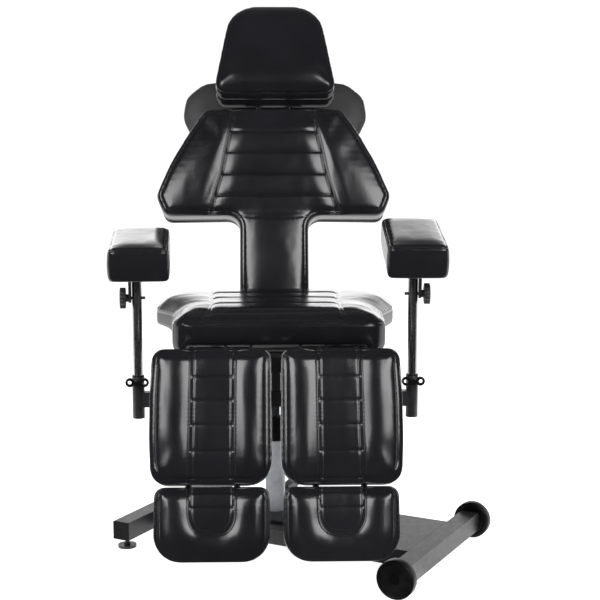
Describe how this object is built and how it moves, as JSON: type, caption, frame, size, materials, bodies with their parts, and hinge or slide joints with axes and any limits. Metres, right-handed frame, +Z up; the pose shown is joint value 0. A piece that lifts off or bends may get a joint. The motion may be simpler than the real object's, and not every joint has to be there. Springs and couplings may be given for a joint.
{
  "type": "tattoo chair",
  "caption": "Hydraulic black tattoo chair with winged backrest, headrest, split legs and foot pads, posted armrests, swivelling on a wheeled base.",
  "frame": {"origin": "centre of the bottom face of the chair's bounding box, on the floor", "axes": "+Z up, -Y the way the chair faces, +X to the viewer's right when looking at its front"},
  "size_m": [1.0436, 1.1954, 1.4965],
  "materials": {
    "black_upholstery": "satin",
    "black_frame_paint": "satin",
    "black_plastic": "matte",
    "pump_steel": "satin",
    "chrome_rod": "polished",
    "black_steel": "satin",
    "black_board": "matte"
  },
  "bodies": {
    "base": {"base_spine": "black_frame_paint", "foot_crossbeam": "black_frame_paint", "wheel_crossbeam": "black_frame_paint", "beam_end_caps": "black_plastic", "wheel_axles": "black_steel", "pump_flange": "black_frame_paint", "pump_flange_bolts": "black_steel", "pump_cylinder": "pump_steel", "pump_gland": "black_steel", "pedal_bracket": "black_frame_paint"},
    "near_wheel": {"near_wheel": "black_plastic"},
    "far_wheel": {"far_wheel": "black_plastic"},
    "levelling_foot_front": {"levelling_foot_front": "black_frame_paint"},
    "levelling_foot_rear": {"levelling_foot_rear": "black_frame_paint"},
    "pedal": {"pump_pedal": "black_frame_paint"},
    "lift": {"pump_piston": "chrome_rod"},
    "turret": {"turret_hub": "black_frame_paint", "turret_plate": "black_frame_paint", "seat_side_rails": "black_frame_paint", "seat_front_rail": "black_frame_paint", "seat_rear_rail": "black_frame_paint", "seat_board": "black_board", "seat_cushion": "black_upholstery", "armrest_crossbar": "black_frame_paint", "leg_hinge_axle": "black_steel", "frame_pins": "black_steel"},
    "backrest": {"back_frame": "black_frame_paint", "back_board": "black_board", "back_cushion": "black_upholstery"},
    "back_spring_cylinder": {"back_spring_cylinder": "black_frame_paint"},
    "back_spring_rod": {"back_spring_rod": "chrome_rod"},
    "headrest_slider": {"headrest_rods": "chrome_rod"},
    "headrest": {"headrest_frame": "black_frame_paint", "headrest_cushion": "black_upholstery"},
    "rear_arm_pad": {"rear_pad_frame": "black_frame_paint", "rear_pad_cushion": "black_upholstery"},
    "leg_right": {"leg_frame_right": "black_frame_paint", "calf_cushion_right": "black_upholstery"},
    "leg_spring_cylinder_right": {"leg_spring_cylinder_right": "black_frame_paint"},
    "leg_spring_rod_right": {"leg_spring_rod_right": "chrome_rod"},
    "foot_right": {"foot_frame_right": "black_frame_paint", "foot_cushion_right": "black_upholstery"},
    "arm_swivel_right": {"sleeve_liner_right": "black_plastic"},
    "arm_post_right": {"armrest_post_right": "chrome_rod"},
    "armrest_right": {"armrest_bracket_right": "black_frame_paint", "armrest_cushion_right": "black_upholstery"},
    "arm_knob_right": {"armrest_knob_right": "black_plastic"},
    "sleeve_screw_right": {"sleeve_screw_right": "black_steel"},
    "leg_left": {"leg_frame_left": "black_frame_paint", "calf_cushion_left": "black_upholstery"},
    "leg_spring_cylinder_left": {"leg_spring_cylinder_left": "black_frame_paint"},
    "leg_spring_rod_left": {"leg_spring_rod_left": "chrome_rod"},
    "foot_left": {"foot_frame_left": "black_frame_paint", "foot_cushion_left": "black_upholstery"},
    "arm_swivel_left": {"sleeve_liner_left": "black_plastic"},
    "arm_post_left": {"armrest_post_left": "chrome_rod"},
    "armrest_left": {"armrest_bracket_left": "black_frame_paint", "armrest_cushion_left": "black_upholstery"},
    "arm_knob_left": {"armrest_knob_left": "black_plastic"},
    "sleeve_screw_left": {"sleeve_screw_left": "black_steel"}
  },
  "joints": [
    {"name": "near_wheel_roll", "type": "hinge", "parent": "base", "child": "near_wheel", "pos_m": [0.21463, -0.51317, 0.05], "axis": [0.4833, 0.8755, 0], "continuous": true},
    {"name": "far_wheel_roll", "type": "hinge", "parent": "base", "child": "far_wheel", "pos_m": [0.4727, -0.04567, 0.05], "axis": [0.4833, 0.8755, 0], "continuous": true},
    {"name": "front_foot_screw_out", "type": "slide", "parent": "base", "child": "levelling_foot_front", "axis": [0, 0, -1], "range_m": [0, 0.015]},
    {"name": "rear_foot_screw_out", "type": "slide", "parent": "base", "child": "levelling_foot_rear", "axis": [0, 0, -1], "range_m": [0, 0.015]},
    {"name": "pedal_press", "type": "hinge", "parent": "base", "child": "pedal", "pos_m": [-0.04786, 0.00868, 0.125], "axis": [-0.8755, 0.4833, 0], "range_deg": [0, 18], "stiffness_Nm_per_rad": 20, "springref_deg": -20.05},
    {"name": "lift", "type": "slide", "parent": "base", "child": "lift", "axis": [0, 0, 1], "range_m": [0, 0.17]},
    {"name": "swivel", "type": "hinge", "parent": "lift", "child": "turret", "pos_m": [-0.07831, -0.04648, 0.45], "axis": [0, 0, 1], "continuous": true},
    {"name": "back_recline", "type": "hinge", "parent": "turret", "child": "backrest", "pos_m": [-0.07831, 0.23352, 0.575], "axis": [-1, 0, 0], "range_deg": [0, 70]},
    {"name": "back_spring_cylinder_swing", "type": "hinge", "parent": "turret", "child": "back_spring_cylinder", "pos_m": [-0.07831, 0.19988, 0.44943], "axis": [-1, 0, 0], "range_deg": [0, 35]},
    {"name": "back_spring_rod_swing", "type": "hinge", "parent": "backrest", "child": "back_spring_rod", "pos_m": [-0.07831, 0.30809, 0.68149], "axis": [-1, 0, 0], "range_deg": [-35, 0]},
    {"name": "headrest_height", "type": "slide", "parent": "backrest", "child": "headrest_slider", "axis": [0, 0.342, 0.9397], "range_m": [0, 0.08]},
    {"name": "headrest_tilt", "type": "hinge", "parent": "headrest_slider", "child": "headrest", "pos_m": [-0.07831, 0.51137, 1.23955], "axis": [1, 0, 0], "range_deg": [-30, 15]},
    {"name": "rear_arm_pad_fold", "type": "hinge", "parent": "backrest", "child": "rear_arm_pad", "pos_m": [-0.07831, 0.52209, 1.04037], "axis": [-1, 0, 0], "range_deg": [0, 75]},
    {"name": "leg_raise_right", "type": "hinge", "parent": "turret", "child": "leg_right", "pos_m": [0.07869, -0.33548, 0.585], "axis": [-1, 0, 0], "range_deg": [0, 70]},
    {"name": "leg_spring_cylinder_swing_right", "type": "hinge", "parent": "turret", "child": "leg_spring_cylinder_right", "pos_m": [0.07869, -0.19242, 0.53989], "axis": [-1, 0, 0], "range_deg": [0, 35]},
    {"name": "leg_spring_rod_swing_right", "type": "hinge", "parent": "leg_right", "child": "leg_spring_rod_right", "pos_m": [0.07869, -0.32893, 0.43514], "axis": [-1, 0, 0], "range_deg": [-35, 0]},
    {"name": "foot_extend_right", "type": "slide", "parent": "leg_right", "child": "foot_right", "axis": [0, -0.342, -0.9397], "range_m": [0, 0.1]},
    {"name": "armrest_swing_right", "type": "hinge", "parent": "turret", "child": "arm_swivel_right", "pos_m": [0.28169, -0.19648, 0.42], "axis": [0, 0, 1], "range_deg": [0, 90]},
    {"name": "armrest_height_right", "type": "slide", "parent": "arm_swivel_right", "child": "arm_post_right", "axis": [0, 0, 1], "range_m": [-0.04, 0.05]},
    {"name": "armrest_tilt_right", "type": "hinge", "parent": "arm_post_right", "child": "armrest_right", "pos_m": [0.28169, -0.19648, 0.711], "axis": [0.9993, -0.0366, 0], "range_deg": [-11, 22]},
    {"name": "armrest_knob_turn_right", "type": "hinge", "parent": "arm_post_right", "child": "arm_knob_right", "pos_m": [0.31767, -0.19779, 0.711], "axis": [0.9993, -0.0366, 0], "continuous": true},
    {"name": "sleeve_screw_turn_right", "type": "hinge", "parent": "turret", "child": "sleeve_screw_right", "pos_m": [0.28169, -0.22648, 0.482], "axis": [0, -1, 0], "continuous": true},
    {"name": "leg_raise_left", "type": "hinge", "parent": "turret", "child": "leg_left", "pos_m": [-0.23531, -0.33548, 0.585], "axis": [-1, 0, 0], "range_deg": [0, 70]},
    {"name": "leg_spring_cylinder_swing_left", "type": "hinge", "parent": "turret", "child": "leg_spring_cylinder_left", "pos_m": [-0.23531, -0.19242, 0.53989], "axis": [-1, 0, 0], "range_deg": [0, 35]},
    {"name": "leg_spring_rod_swing_left", "type": "hinge", "parent": "leg_left", "child": "leg_spring_rod_left", "pos_m": [-0.23531, -0.32893, 0.43514], "axis": [-1, 0, 0], "range_deg": [-35, 0]},
    {"name": "foot_extend_left", "type": "slide", "parent": "leg_left", "child": "foot_left", "axis": [0, -0.342, -0.9397], "range_m": [0, 0.1]},
    {"name": "armrest_swing_left", "type": "hinge", "parent": "turret", "child": "arm_swivel_left", "pos_m": [-0.43831, -0.19648, 0.42], "axis": [0, 0, -1], "range_deg": [0, 90]},
    {"name": "armrest_height_left", "type": "slide", "parent": "arm_swivel_left", "child": "arm_post_left", "axis": [0, 0, 1], "range_m": [-0.04, 0.05]},
    {"name": "armrest_tilt_left", "type": "hinge", "parent": "arm_post_left", "child": "armrest_left", "pos_m": [-0.43831, -0.19648, 0.702], "axis": [0.9978, 0.0663, 0], "range_deg": [-8, 25]},
    {"name": "armrest_knob_turn_left", "type": "hinge", "parent": "arm_post_left", "child": "arm_knob_left", "pos_m": [-0.47423, -0.19886, 0.702], "axis": [-0.9978, -0.0663, 0], "continuous": true},
    {"name": "sleeve_screw_turn_left", "type": "hinge", "parent": "turret", "child": "sleeve_screw_left", "pos_m": [-0.43831, -0.22648, 0.482], "axis": [0, -1, 0], "continuous": true}
  ],
  "couplings": [
    {"joint": "back_spring_cylinder_swing", "follows": "back_recline", "ratio": 0.5},
    {"joint": "back_spring_rod_swing", "follows": "back_recline", "ratio": -0.5},
    {"joint": "leg_spring_cylinder_swing_right", "follows": "leg_raise_right", "ratio": 0.5},
    {"joint": "leg_spring_rod_swing_right", "follows": "leg_raise_right", "ratio": -0.5},
    {"joint": "leg_spring_cylinder_swing_left", "follows": "leg_raise_left", "ratio": 0.5},
    {"joint": "leg_spring_rod_swing_left", "follows": "leg_raise_left", "ratio": -0.5}
  ]
}
